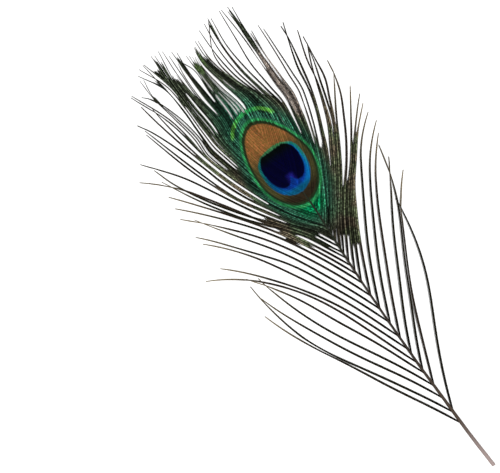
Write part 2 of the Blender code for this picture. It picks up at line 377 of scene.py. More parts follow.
def angle(name, degrees, description):
    """An angle that the sidebar shows in degrees."""
    return FloatProperty(
        name=name, description=description, default=math.radians(degrees), min=0, subtype="ANGLE", unit="ROTATION"
    )


def paint(name, default, description):
    """A colour that the sidebar shows as a swatch."""
    return FloatVectorProperty(
        name=name, description=description, default=default, size=3, min=0, max=1, subtype="COLOR"
    )


class FeatherSizes(bpy.types.PropertyGroup):
    rod: length("Rod", 0.17 * MM, "Radius of a loose barb's rod near its root")
    crown_rod: length("Crown rod", 0.12 * MM, "Radius of a barb's rod in the crown above the eye")
    eye_rod: length("Eye rod", 0.1 * MM, "Radius of a barb's rod where the barbs lie closed")
    strip: length("Strip", 0.55 * MM, "How far the close barbules reach to each side of a loose barb")
    pitch: length("Barbule pitch", 0.36 * MM, "Distance between barbules along a barb")
    barbule: length("Barbule", 0.1 * MM, "Half the width of a barbule where it leaves the rod")
    lift: length("Lift", 0.16 * MM, "How far neighbouring barbs lie above or below one another")
    seed: IntProperty(name="Seed", description="Picks the small unevenness of the barbs", default=7, min=0)


class FeatherColours(bpy.types.PropertyGroup):
    thread: paint("Thread", rgb(27, 22, 18), "Rods of the darkest loose barbs")
    brown: paint("Brown", rgb(72, 60, 50), "Barbules of the brown barbs")
    olive: paint("Olive", rgb(50, 52, 34), "Barbules of the olive barbs")
    mat: paint("Mat", rgb(75, 82, 60), "Matted barbs that lean to green")
    dun: paint("Dun", rgb(82, 74, 60), "Matted barbs that lean to brown")
    dusk: paint("Dusk", rgb(48, 54, 42), "Matted barbs of the crown")
    tuft: paint("Tuft", rgb(58, 74, 43), "Matted green tips above the eye")
    ash: paint("Ash", rgb(136, 124, 114), "The worn lock to the right of the eye")
    tip: paint("Tip", rgb(150, 135, 105), "Worn tips of the outer barbs")
    forest: paint("Forest", rgb(34, 71, 54), "Barbs round the eye")
    teal: paint("Teal", rgb(44, 98, 76), "Barbs close to the thin ring")
    emerald: paint("Emerald", rgb(4, 100, 60), "Fan below the eye")
    leaf: paint("Leaf", rgb(84, 152, 61), "Ends of the crescent above the eye")
    crescent: paint("Crescent", rgb(48, 150, 82), "Middle of the crescent above the eye")
    ring: paint("Ring", rgb(44, 134, 77), "Thin ring outside the bronze")
    moss: paint("Moss", rgb(36, 50, 28), "Line between the thin ring and the bronze, and the shaft below the eye")
    bronze: paint("Bronze", rgb(152, 96, 54), "Upper part of the oval round the blue")
    brass: paint("Brass", rgb(136, 98, 50), "Greener flecks in the bronze")
    copper: paint("Copper", rgb(70, 68, 38), "Sides of the oval round the blue")
    umber: paint("Umber", rgb(44, 36, 24), "Lower edge of the oval round the blue")
    verdigris: paint("Verdigris", rgb(66, 128, 76), "Upper rim of the blue")
    turquoise: paint("Turquoise", rgb(26, 124, 114), "Side rim of the blue")
    azure: paint("Azure", rgb(8, 102, 170), "Sides of the blue")
    lagoon: paint("Lagoon", rgb(8, 84, 118), "Lower edge of the blue")
    royal: paint("Royal", rgb(10, 58, 150), "Lower part of the blue")
    # Navy is also the painted shade over the left of the blue and its rim.
    navy: paint("Navy", rgb(0, 0, 36), "Heart of the eye")
    ink: paint("Ink", (0.0005, 0.002, 0.002), "Upper part of the heart")
    violet: paint("Violet", rgb(28, 26, 118), "Notch in the heart")
    quill: paint("Quill", rgb(172, 154, 150), "Bare quill at the cut end")


class StageSettings(bpy.types.PropertyGroup):
    floor: paint("Table", (0.93, 0.93, 0.93), "The plain table top")
    sky: FloatProperty(name="Sky", description="Strength of the white light from all round", default=0.3, min=0)
    overhead: FloatProperty(name="Overhead lamp", description="Strength of the lamp above", default=3.0, min=0)
    side: FloatProperty(name="Side lamp", description="Strength of the lamp that throws the shadow", default=0.6, min=0)
    overhead_width: angle("Overhead lamp width", 2.5, "Width of the lamp above, seen from the table")
    side_width: angle("Side lamp width", 9, "Width of the side lamp, seen from the table")


# ---------------------------------------------------------------- lines


def arch(x, y):
    """Height of the vane's middle sheet above the table."""
    along = np.clip((y - ARCH_START) / ARCH_SPAN, 0, 1)
    crown = ARCH_BASE + ARCH_RISE * np.sin(math.pi * along) ** ARCH_POWER
    across = np.where(np.asarray(x) < 0, np.abs(x) / ARCH_LEFT, np.abs(x) / ARCH_RIGHT)
    return crown * (1 - np.minimum(across, 1) ** 2)


def to_frame(points):
    """Millimetres on the feather as metres in the frame."""
    return (np.asarray(points) - (CENTRE_X, CENTRE_Y, 0)) * MM


def smooth(value, low, high):
    """0 up to low, 1 from high on, and an even rise between."""
    share = np.clip((value - low) / (high - low), 0, 1)
    return share * share * (3 - 2 * share)


def root_lean(y, lean_table):
    """How far a barb leans away from the shaft at its root."""
    return math.radians(float(np.interp(y, LEAN_Y, lean_table)))


def barb_line(side, barb, lean_table):
    """Places along a barb from the middle of the shaft to its tip, seen from above."""
    root_y, out, tip_y, tip_lean, curl = barb
    lean = root_lean(root_y, lean_table)
    end_lean = math.radians(tip_lean)
    root = np.array([side * np.interp(root_y, SHAFT_Y, SHAFT_X), root_y])
    tip = np.array([out, tip_y])
    handle = HANDLE * np.linalg.norm(tip - root)
    second = root + handle * np.array([math.sin(lean), math.cos(lean)])
    third = tip - handle * np.array([math.sin(end_lean), math.cos(end_lean)])
    t = np.linspace(0, 1, LINE_STEPS + 1)[:, None]
    line = (1 - t) ** 3 * root + 3 * (1 - t) ** 2 * t * second
    line += 3 * (1 - t) * t**2 * third + t**3 * tip
    bend = np.clip((t - CURL_START) / (1 - CURL_START), 0, 1) ** 2
    line += bend * curl * np.array([1, -CURL_DROP])
    line[:, 0] *= side
    return line


def passing_line(side, row, heights, lean_table):
    """Places along a barb from the shaft, past a given place at each of these heights, to its tip."""
    root_y, *passes, tip_x, tip_y = row
    low_room, high_room = PASS_ROOM
    heights = [root_y, *(y for y in heights if root_y + low_room < y < tip_y - high_room), tip_y]
    across = [float(np.interp(root_y, SHAFT_Y, SHAFT_X)), *passes, tip_x]
    slopes = np.diff(across) / np.diff(heights)
    ways = np.append((slopes[:-1] + slopes[1:]) / 2, slopes[-1])
    ways = np.insert(ways, 0, math.tan(root_lean(root_y, lean_table)) * side)
    y = np.linspace(root_y, tip_y, LINE_STEPS + 1)
    piece = np.clip(np.searchsorted(heights, y, side="right") - 1, 0, len(heights) - 2)
    span = np.diff(heights)[piece]
    t = (y - np.array(heights)[piece]) / span
    low, high = np.array(across)[piece], np.array(across)[piece + 1]
    x = low * (2 * t**3 - 3 * t**2 + 1) + high * (3 * t**2 - 2 * t**3)
    x += span * (ways[piece] * (t**3 - 2 * t**2 + t) + ways[piece + 1] * (t**3 - t**2))
    return np.column_stack([x, y])


def sideways(line):
    """Unit steps to the left of a line."""
    along = np.gradient(line, axis=0)
    return np.column_stack([-along[:, 1], along[:, 0]]) / np.linalg.norm(along, axis=1)[:, None]


def wavering(line, share, rng):
    """The line with a slow waver to the side that grows away from the root."""
    place = np.linspace(0, 1, len(line))
    waves, phase = rng.uniform(*WAVES), rng.uniform(0, 2 * math.pi)
    sway = WAVE * share * smooth(place, 0, WAVE_FULL) * np.sin(2 * math.pi * waves * place + phase)
    return line + sideways(line) * sway[:, None]


# ---------------------------------------------------------------- barbs, laid out


class Plan(NamedTuple):
    """A barb before it grows.

    It has its line from above, where the gap to the next barb is closed, its rod, what share of an open gap
    its strip takes, and the most that it takes.
    """

    line: np.ndarray
    closings: tuple
    rod: float
    share: float
    most: float


class Barb(NamedTuple):
    """One barb: its line on the feather in millimetres, and what varies along it or from barb to barb."""

    line: np.ndarray
    rod: np.ndarray
    reach: np.ndarray
    fringe: np.ndarray
    matted: np.ndarray
    tone: float
    pale: float


def side_plans(side, loose, heights, fan, crown, lean_table, rng, sizes):
    """The plans of one side from the quill up."""
    thick, thin = sizes.rod / MM, sizes.crown_rod / MM
    strip = sizes.strip / MM
    plans = []
    for row in loose:
        line = wavering(barb_line(side, row[:5], lean_table), WAVE_CLOSED if row[5:] else 1, rng)
        plans.append(Plan(line, row[5:], thick, OPEN_SHARE, strip))
    for row in fan:
        line = passing_line(side, row[:-2], heights, lean_table)
        plans.append(Plan(line, (row[-2:],), thick, OPEN_SHARE, strip))
    for row in crown:
        line = passing_line(side, row[:-1], CROWN_HEIGHTS, lean_table)
        ends = row[-1]
        closings = tuple(zip((row[0] - ROOT_LENGTH, *ends[1::2]), ends[::2]))
        plans.append(Plan(line, closings, thin, CROWN_SHARE[abs(row[2]) > CROWN_INNER], CROWN_MOST))
    return plans


def closed(y, closings):
    """1 where the gap to the next barb is closed, and 0 where it is open."""
    start, end = CLOSE_EDGE
    share = np.zeros(len(y))
    for low, high in closings:
        share = np.maximum(share, smooth(y, low - start, low) * (1 - smooth(y, high - end, high + end)))
    return share


def distances(line, other):
    """How far each place of a line is from another line."""
    return np.linalg.norm(line[:, None] - other[None], axis=2).min(axis=1)


def airiness(line):
    """1 in the middle of the lock that the table shows through, and 0 outside it."""
    start, end, wide = AIRY
    share = np.clip((line[:, 1] - start[1]) / (end[1] - start[1]), 0, 1)
    off = np.hypot(line[:, 0] - start[0], line[:, 1] - (start[1] + share * (end[1] - start[1])))
    return 1 - smooth(off / wide, *AIRY_EDGE)


def grown_barb(flat, close, reach, rng, sizes, rod, room=CLOSED_ROOM, under=False):
    """Gives a line its height over the table, its rod, its strip and fringe, and its own shade.

    The reach is how far the strip of close barbules goes to the left and to the right, and the room is
    how far the free barbules may go. A barb that lies under its neighbours fills a gap.
    """
    place = np.linspace(0, 1, len(flat))
    shaggy = smooth(np.hypot(*((flat - EYE_CENTRE) / EYE_REACH).T), *EYE_EDGE)
    from_root = np.linalg.norm(flat - flat[0], axis=1)
    airy = airiness(flat)
    taper = np.interp(place, TAPER_PLACE, TAPER_SHARE)
    taper = taper * (ROOT_SHARE + (1 - ROOT_SHARE) * smooth(from_root, 0, ROOT_LENGTH))
    taper = np.maximum(taper, TAPER_CLOSED * close)
    rod = (rod + (sizes.eye_rod / MM - rod) * close) * taper
    if under:
        rod = np.minimum(rod, FILLER_ROD + close * rod)
    reach = reach * taper[:, None]
    long = EYE_FRINGE + (SHAGGY_FRINGE - EYE_FRINGE) * shaggy
    fringe = np.minimum(reach * (LOOSE_FRINGE + (long - LOOSE_FRINGE) * close)[:, None], room)
    bare = ROOT_FRINGE + (1 - ROOT_FRINGE) * smooth(from_root, 0, 2 * ROOT_LENGTH)
    fringe = fringe * np.maximum(close, bare)[:, None]
    reach = reach * (1 - AIRY_SHARE * airy)[:, None]
    lift = (rng.uniform(-1, 1) - (1 if under else 0)) * sizes.lift / MM
    height = arch(flat[:, 0], flat[:, 1]) + lift * smooth(place, 0, LIFT_START)
    height = np.maximum(height, rod + TABLE_GAP)
    tip_x, tip_y = flat[-1]
    pale = smooth(abs(tip_x), *PALE_OUT) * (1 - smooth(tip_y, *PALE_UP)) * rng.uniform(0.5, 1)
    matted = close * shaggy * (1 - AIRY_MATTED * airy) + airy * AIRY_MATTED
    return Barb(np.column_stack([flat, height]), rod, reach, fringe, matted, rng.uniform(0, 1), pale)


def side_barbs(side, plans, rng, sizes):
    """The planned barbs of one side, and those that fill the closed gaps between them."""
    barbs, fillers = [], []
    for index, plan in enumerate(plans):
        line = plan.line
        close = np.zeros(len(line))
        reach = np.full((len(line), 2), sizes.strip / MM)
        room = np.full((len(line), 2), CLOSED_ROOM)
        for gap, other in ((index - 1, index - 1), (index, index + 1)):
            if not 0 <= other < len(plans):
                continue
            share = closed(line[:, 1], plans[gap].closings)
            apart = distances(line, plans[other].line)
            lapped = np.minimum(CLOSED_LAP * apart / np.maximum(np.ceil(apart / CLOSE_GAP), 1), CLOSED_MOST)
            free = np.clip(plan.share * apart, OPEN_LEAST, plan.most)
            column = int((other > index) == (side < 0))
            reach[:, column] = free + (lapped - free) * share
            room[:, column] = OPEN_FRINGE * apart + CLOSED_ROOM * share
            close = np.maximum(close, share)
        if index + 1 == len(plans):
            share = closed(line[:, 1], (EYE_CLOSED,))
            reach[:, int(side < 0)] = OPEN_LEAST + (CLOSED_MOST - OPEN_LEAST) * share
            room[:, int(side < 0)] = OPEN_LEAST + CLOSED_ROOM * share
        barbs.append(grown_barb(line, close, reach, rng, sizes, plan.rod, room))
        if index + 1 < len(plans):
            fillers += filling(line, plans[index + 1].line, plan.closings, rng, sizes)
    return barbs, fillers


def filling(line, other, closings, rng, sizes):
    """Barbs between two others, as many as the widest closed part of the gap needs."""
    apart = distances(line, other)
    count = math.ceil(float((closed(line[:, 1], closings) * apart).max()) / CLOSE_GAP)
    barbs = []
    for step in range(1, count):
        middle = line + step / count * (other - line)
        share = closed(middle[:, 1], closings)
        inside = np.flatnonzero(share > 0.5)
        if len(inside):
            last = inside[-1] + int(rng.integers(0, FILLER_STEPS))
            kept = slice(max(inside[0] - 1, 0), min(last, len(middle)))
            reach = FILLER_LEAST + share * np.minimum(CLOSED_LAP * apart / count, CLOSED_MOST)
            reach = np.column_stack([reach, reach])[kept]
            rod = sizes.crown_rod / MM
            barbs.append(grown_barb(middle[kept], share[kept], reach, rng, sizes, rod, under=True))
    return barbs


def line_mesh(name, barbs):
    """Edges along every barb, twice: once for its rod and once for the strip of close barbules beside it."""
    columns = {}
    points, edges = [], []
    for row, barb in enumerate(barbs):
        count = len(barb.line)
        left, right = barb.reach.T
        middle = barb.line.copy()
        middle[:, :2] += sideways(barb.line[:, :2]) * (left - right)[:, None] / 2
        for kind, line, thick in ((0, barb.line, barb.rod), (1, middle, (left + right) / 2)):
            edges.extend((len(points) + i, len(points) + i + 1) for i in range(count - 1))
            points.extend(line)
            marks = {
                "thick": thick * MM,
                "fringe_left": barb.fringe[:, 0] * MM,
                "fringe_right": barb.fringe[:, 1] * MM,
                "matted": barb.matted,
                "place": np.linspace(0, 1, count),
                "run": np.append(0, np.cumsum(np.linalg.norm(np.diff(barb.line, axis=0), axis=1))),
                "tone": barb.tone,
                "pale": barb.pale,
                "row": row,
                "kind": kind,
            }
            for key, value in marks.items():
                columns.setdefault(key, []).append(np.broadcast_to(value, count))
    mesh = bpy.data.meshes.new(name)
    mesh.from_pydata(to_frame(points).tolist(), edges, [])
    for key, values in columns.items():
        values = np.concatenate(values).astype(np.float32)
        mesh.attributes.new(key, "FLOAT", "POINT").data.foreach_set("value", values)
    return mesh


# ---------------------------------------------------------------- node helpers


def socket_of(sockets, name):
    """The socket of this identifier or, failing that, the first enabled one of this name."""
    for socket in sockets:
        if socket.identifier == name:
            return socket
    return next(socket for socket in sockets if socket.name == name and socket.enabled)


def fill(socket, value):
    """Links an output to the socket, or gives the socket a value."""
    if isinstance(value, NodeSocket):
        socket.id_data.links.new(value, socket)
    else:
        socket.default_value = value


def put(tree, kind, inputs=None, output=None, **settings):
    """Adds a node and gives the named output, or the node where no output is named."""
    node = tree.nodes.new(kind)
    for key, value in settings.items():
        setattr(node, key, value)
    for name, value in (inputs or {}).items():
        fill(socket_of(node.inputs, name), value)
    return socket_of(node.outputs, output) if output else node


def compute(kind, operation, *values):
    """Arithmetic as a node in the tree that the first output among the values belongs to."""
    tree = next(value.id_data for value in values if isinstance(value, NodeSocket))
    node = tree.nodes.new(kind)
    node.operation = operation
    sockets = (node.inputs[0], node.inputs["Scale"]) if operation == "SCALE" else node.inputs
    for socket, value in zip(sockets, values):
        fill(socket, value)
    return node.outputs[0]


def maths(operation, *values):
    return compute("ShaderNodeMath", operation, *values)


def vectors(operation, first, second):
    """Arithmetic on two vectors, or on a vector and the number that scales it."""
    return compute("ShaderNodeVectorMath", operation, first, second)


def vector(x, y, z=0.0):
    return put(x.id_data, "ShaderNodeCombineXYZ", {"X": x, "Y": y, "Z": z}, "Vector")


def add(first, *others):
    return reduce(partial(maths, "ADD"), others, first)


def mul(first, *others):
    return reduce(partial(maths, "MULTIPLY"), others, first)


def sub(a, b):
    return maths("SUBTRACT", a, b)


def most(a, b):
    return maths("MAXIMUM", a, b)


def size(a):
    return maths("ABSOLUTE", a)


def above(a, b):
    """How far a is over b, or 0."""
    return most(sub(a, b), 0)


def ratio(value, whole, power=2):
    """The value's share of a whole, raised to a power."""
    return maths("POWER", maths("DIVIDE", value, whole), power)


def rise(value, low, high):
    """0 up to low, 1 from high on, and an even rise between."""
    inputs = {"Value": value, "From Min": low, "From Max": high}
    return put(value.id_data, "ShaderNodeMapRange", inputs, "Result", interpolation_type="SMOOTHSTEP")


def fall(value, low, high):
    """1 up to low, 0 from high on, and an even fall between."""
    return sub(1, rise(value, low, high))


def band(value, low, high, edge):
    """1 between low and high, with soft edges outside them."""
    return mul(rise(value, low - edge, low), fall(value, high, high + edge))


def between(share, first, second):
    """The first number where the share is 0 and the second where it is 1."""
    return add(mul(share, second - first), first)


def blend(factor, first, second):
    """The first colour where the factor is 0 and the second where it is 1."""
    first, second = (value if isinstance(value, NodeSocket) else (*value, 1) for value in (first, second))
    inputs = {"Factor_Float": factor, "A_Color": first, "B_Color": second}
    return put(factor.id_data, "ShaderNodeMix", inputs, "Result_Color", data_type="RGBA")


def noise(place, scale, detail):
    """Soft unevenness from about 0.3 to 0.7."""
    inputs = {"Vector": place, "Scale": scale, "Detail": detail}
    return put(place.id_data, "ShaderNodeTexNoise", inputs, "Fac")


# ---------------------------------------------------------------- barbs, grown


def barb_tree(finish):
    """The node tree that turns lines into barbs: rods, webs, and barbules on both sides."""
    tree = bpy.data.node_groups.new("barbs", "GeometryNodeTree")
    face = tree.interface
    face.new_socket("Lines", in_out="INPUT", socket_type="NodeSocketGeometry")
    for name, default in TREE_INPUTS:
        face.new_socket(name, in_out="INPUT", socket_type="NodeSocketFloat").default_value = default
    face.new_socket("Seed", in_out="INPUT", socket_type="NodeSocketInt").default_value = 7
    face.new_socket("Barbs", in_out="OUTPUT", socket_type="NodeSocketGeometry")
    given = tree.nodes.new("NodeGroupInput").outputs

    def named(name):
        return put(tree, "GeometryNodeInputNamedAttribute", {"Name": name}, "Attribute", data_type="FLOAT")

    def kept(geometry, name, value, domain="POINT", data_type="FLOAT"):
        inputs = {"Geometry": geometry, "Name": name, "Value": value}
        return put(tree, "GeometryNodeStoreNamedAttribute", inputs, "Geometry", domain=domain, data_type=data_type)

    def coordinate(axis):
        position = put(tree, "GeometryNodeInputPosition", output="Position")
        return put(tree, "ShaderNodeSeparateXYZ", {"Vector": position}, axis)

    def stepped(curve, step):
        return put(tree, "GeometryNodeResampleCurve", {"Curve": curve, "Length": step}, "Curve", mode="LENGTH")

    def shaded(mesh, smoothly):
        return put(tree, "GeometryNodeSetShadeSmooth", {"Geometry": mesh, "Shade Smooth": smoothly}, "Geometry")

    inputs = {"A": named("kind"), "B": 0.5}
    strip = put(tree, "FunctionNodeCompare", inputs, "Result", operation="GREATER_THAN", data_type="FLOAT")
    inputs = {"Geometry": given["Lines"], "Selection": strip}
    split = put(tree, "GeometryNodeSeparateGeometry", inputs, domain="POINT")
    curves = []
    for mesh in (split.outputs["Inverted"], split.outputs["Selection"]):
        curve = put(tree, "GeometryNodeMeshToCurve", {"Mesh": mesh}, "Curve")
        curves.append(put(tree, "GeometryNodeSetCurveNormal", {"Curve": curve}, "Curve", mode="Z_UP"))
    rods, strips = curves
    inputs = {"Resolution": ROD_SIDES, "Radius": 1.0}
    circle = put(tree, "GeometryNodeCurvePrimitiveCircle", inputs, "Curve", mode="RADIUS")
    inputs = {"Width": 2.0, "Bottom Height": given["Web thickness"], "Top Height": given["Web thickness"]}
    kite = put(tree, "GeometryNodeCurvePrimitiveQuadrilateral", inputs, "Curve", mode="KITE")
    parts = []
    for curve, profile, across, smoothly in ((rods, circle, ROD_ACROSS, True), (strips, kite, STRIP_ACROSS, False)):
        inputs = {
            "Curve": stepped(curve, given["Rod step"]),
            "Profile Curve": kept(profile, "across", mul(coordinate("X"), across)),
            "Scale": named("thick"),
            "Fill Caps": True,
        }
        parts.append(shaded(put(tree, "GeometryNodeCurveToMesh", inputs, "Mesh"), smoothly))

    places = stepped(rods, given["Pitch"])
    forwards = put(tree, "GeometryNodeInputTangent", output="Tangent")
    outwards = vectors("CROSS_PRODUCT", forwards, UP)
    number = put(tree, "GeometryNodeInputIndex", output="Index")

    def chance(low, high, salt):
        inputs = {"Min_001": low, "Max_001": high, "ID": number, "Seed": add(given["Seed"], salt)}
        return put(tree, "FunctionNodeRandomValue", inputs, "Value_001", data_type="FLOAT")

    def uneven(value, salt):
        return mul(value, add(1, mul(given["Unevenness"], chance(-1, 1, salt))))

    for side, fringe, salt in ((-1, "fringe_left", 1), (1, "fringe_right", 11)):
        turn = uneven(given["Barbule angle"], salt)
        way = vectors("SCALE", forwards, maths("COSINE", turn))
        out = vectors("SCALE", outwards, mul(maths("SINE", turn), side))
        rising = vectors("SCALE", UP, chance(*BARBULE_RISE, salt + 1))
        way = vectors("ADD", vectors("ADD", way, out), rising)
        inputs = {"Primary Axis": way, "Secondary Axis": UP}
        axes = {"primary_axis": "Z", "secondary_axis": "X"}
        turned = put(tree, "FunctionNodeAxesToRotation", inputs, "Rotation", **axes)
        width = given["Barbule width"]
        scale = vector(mul(width, BARBULE_FLAT), width, uneven(named(fringe), salt + 2))
        inputs = {"Vertices": 3, "Radius Top": 0.0, "Radius Bottom": 1.0, "Depth": 1.0}
        barbule = put(tree, "GeometryNodeMeshCone", inputs, "Mesh", fill_type="TRIANGLE_FAN")
        reach = mul(add(mul(coordinate("Z"), 1 - ROD_ACROSS), ROD_ACROSS), side)
        barbule = shaded(kept(barbule, "across", reach), False)
        inputs = {"Points": places, "Instance": barbule, "Rotation": turned, "Scale": scale}
        copies = put(tree, "GeometryNodeInstanceOnPoints", inputs, "Instances")
        parts.append(put(tree, "GeometryNodeRealizeInstances", {"Geometry": copies}, "Geometry"))

    joined = tree.nodes.new("GeometryNodeJoinGeometry")
    for part in reversed(parts):
        tree.links.new(part, joined.inputs[0])
    row = add(named("row"), 0.5, mul(named("across"), CHART_SHARE))
    chart = vector(named("place"), maths("DIVIDE", row, given["Rows"]))
    mesh = kept(joined.outputs[0], "OFBake", chart, "CORNER", "FLOAT2")
    mesh = put(tree, "GeometryNodeSetMaterial", {"Geometry": mesh, "Material": finish}, "Geometry", name="finish")
    done = tree.nodes.new("NodeGroupOutput")
    tree.links.new(mesh, done.inputs[0])
    return tree


def grow(name, barbs, tree, sizes, seed):
    """A plain mesh piece of these barbs, grown by the node tree from their lines."""
    piece = bpy.data.objects.new(name, line_mesh(name, barbs))
    bpy.context.scene.collection.objects.link(piece)
    modifier = piece.modifiers.new("growth", "NODES")
    modifier.node_group = tree
    wanted = {"Pitch": sizes.pitch, "Barbule width": sizes.barbule, "Rows": float(len(barbs)), "Seed": seed}
    for item in tree.interface.items_tree:
        if item.name in wanted and item.in_out == "INPUT":
            modifier[item.identifier] = wanted[item.name]
    graph = bpy.context.evaluated_depsgraph_get()
    mesh = bpy.data.meshes.new_from_object(piece.evaluated_get(graph), preserve_all_data_layers=True, depsgraph=graph)
    lines = piece.data
    piece.modifiers.remove(modifier)
    piece.data = mesh
    mesh.materials.clear()
    mesh.materials.append(tree.nodes["finish"].inputs["Material"].default_value)
    mesh.polygons.foreach_set("material_index", np.zeros(len(mesh.polygons), np.int32))
    bpy.data.meshes.remove(lines)
    place_piece(piece)


def place_piece(piece):
    """Says what the piece is to the frame: it is part of the feather's root body, and the feather's solid from
    model.glb is hidden.
    """
    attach(piece, "root")
    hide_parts("feather")


# ---------------------------------------------------------------- finishes


def new_finish(name):
    """A new material, its node tree and its shader."""
    material = bpy.data.materials.new(name)
    material.use_nodes = True
    return material, material.node_tree, material.node_tree.nodes["Principled BSDF"]


def feather_place(tree):
    """The place on the feather in millimetres, in a shader tree."""
    spot = put(tree, "ShaderNodeTexCoord", output="Object")
    inputs = {"Vector": spot, "Scale": (1 / MM,) * 3, "Location": (CENTRE_X, CENTRE_Y, 0)}
    return put(tree, "ShaderNodeMapping", inputs, "Vector")


def coat(tree, shader, colour, bright, rough, gloss, relief, strength, depth):
    """Gives the shader its colour, how bright, rough and glossy it is, and a fine relief."""
    bump = put(tree, "ShaderNodeBump", {"Height": relief, "Strength": strength, "Distance": depth}, "Normal")
    fill(shader.inputs["Base Color"], vectors("SCALE", colour, bright))
    fill(shader.inputs["Roughness"], rough)
    fill(shader.inputs["Normal"], bump)
    shader.inputs["Specular IOR Level"].default_value = gloss


def egg(x, y, middle, half_width, up, down, points):
    """1 on an egg's outline, less inside it and more outside."""
    wide = ratio(size(sub(x, middle[0])), half_width)
    high = ratio(above(y, middle[1]), up, points[0])
    low = ratio(above(middle[1], y), down, points[1])
    return maths("SQRT", add(wide, add(high, low)))


def leaning(x, y, height, slope):
    """The distance across the feather from a line that leans to the left above this height."""
    return add(x, mul(above(y, height), slope))


def halo_pattern(x, y, colours, thread):
    """The green barbs round the eye over the loose barbs' colour, and how far they reach."""
    halo = egg(leaning(x, y, *HALO_LEAN), y, *HALO)
    around = fall(halo, 0.8, 1.15)
    colour = blend(around, thread, blend(rise(halo, 0.6, 0.95), colours.teal, colours.forest))
    fan = mul(fall(egg(x, y, *FAN), 0.8, 1.02), fall(size(x), 4, 10), fall(y, 160, 172))
    return blend(fan, colour, colours.emerald), around


def crescent_pattern(x, y, colours, colour):
    """The crescent above the eye over another colour, and where it lies."""
    across, up = (sub(value, middle) for value, middle in zip((x, y), CRESCENT_MIDDLE))
    arc = maths("SQRT", add(mul(across, across), mul(up, up)))
    crescent = mul(band(arc, *CRESCENT_REACH, 0.9), rise(y, 199.5, 203))
    middle, edge = CRESCENT_ENDS
    green = blend(rise(size(sub(x, middle)), *edge), colours.crescent, colours.leaf)
    return blend(crescent, colour, green), crescent


def blue_pattern(x, y, spot, colours):
    """The blue and its rim, with painted shade that darkens them towards navy at the upper left."""
    # Painted shade: the left of the blue, and of its rim, is blended towards navy.
    shaded = between(rise(x, -9, 7), 0.55, 0)
    blue = blend(rise(spot, 0.74, 0.88), colours.royal, colours.azure)
    blue = blend(mul(shaded, rise(y, 160, 172)), blue, colours.navy)
    blue = blend(fall(y, 163.4, 166), blue, colours.lagoon)
    rim = blend(rise(y, 183.5, 187), colours.turquoise, colours.verdigris)
    rim = blend(mul(shaded, 0.7), rim, colours.navy)
    blue = blend(mul(rise(spot, 0.86, 0.91), rise(y, 166, 180)), blue, rim)
    return blend(rise(y, 183.6, 184.8), blue, rim)


def heart_pattern(x, y, colours, colour):
    """The dark heart over another colour: two lobes below with a violet notch between them."""
    middle_x, middle_y = HEART_MIDDLE
    beside = size(sub(x, middle_x))
    lobes = add(
        ratio(above(LOBE, beside), LOBE_REACH[0]),
        ratio(above(beside, LOBE), LOBE_REACH[1]),
        ratio(above(middle_y, y), LOBE_REACH[2]),
    )
    corners = add(
        ratio(above(beside, CORNER), CORNER_REACH[0]),
        ratio(above(y, middle_y), CORNER_REACH[1]),
    )
    upper = rise(y, middle_y - 0.1, middle_y + 0.1)
    heart = add(mul(lobes, sub(1, upper)), mul(corners, upper))
    notch = mul(fall(beside, 0, 3), band(y, 168, 170.8, 2.4))
    navy = blend(rise(y, 179, 185), colours.navy, colours.ink)
    navy = blend(notch, navy, colours.violet)
    return blend(fall(heart, 0.88, 1.08), colour, navy)


def eye_pattern(x, y, colours, thread, fleck):
    """Colour at a place on the feather, worked from the loose barbs in to the heart of the eye.

    It also gives how far the place is in the halo round the eye, and how calm the barbs' streaks are there.
    """
    leaned = leaning(x, y, *EYE_LEAN)
    oval = egg(leaned, y, *OVAL)
    ring = egg(leaned, y, *RING)
    colour, around = halo_pattern(x, y, colours, thread)
    colour, crescent = crescent_pattern(x, y, colours, colour)
    thin_ring = band(ring, 0.985, 1.015, 0.035)
    colour = blend(thin_ring, colour, colours.ring)
    colour = blend(fall(oval, 1.03, 1.065), colour, colours.moss)
    warm = blend(rise(fleck, 0.42, 0.6), colours.brass, colours.bronze)
    bronze = blend(rise(y, 160, 168), colours.umber, colours.copper)
    bronze = blend(rise(y, 181, 191), bronze, warm)
    colour = blend(fall(oval, 0.965, 1.0), colour, bronze)
    spot = egg(x, y, *SPOT)
    colour = blend(fall(spot, 0.975, 1.02), colour, blue_pattern(x, y, spot, colours))
    colour = heart_pattern(x, y, colours, colour)
    calm = mul(fall(ring, 1.02, 1.08), between(thin_ring, 1, 0.6))
    return colour, around, most(calm, mul(crescent, 0.4))


def thread_pattern(x, y, marks, cloud, colours):
    """Colour of the barbs outside the eye: dark rods, brown and olive barbules, worn tips and matted parts."""
    shade = blend(rise(marks["tone"], 0.25, 0.75), colours.olive, colours.brown)
    thread = blend(rise(size(marks["across"]), 0.15, 0.7), colours.thread, shade)
    worn = mul(rise(marks["place"], 0.72, 1.0), marks["pale"])
    thread = blend(worn, thread, colours.tip)
    mat = blend(rise(cloud, 0.4, 0.6), colours.mat, colours.dun)
    mat = blend(rise(y, 190, 214), mat, colours.dusk)
    mat = blend(fall(egg(x, y, *TUFT), 0.7, 1.3), mat, colours.tuft)
    across, along = ASH_LOCK
    mat = blend(mul(band(x, *across), band(y, *along)), mat, colours.ash)
    return blend(marks["matted"], thread, mat)


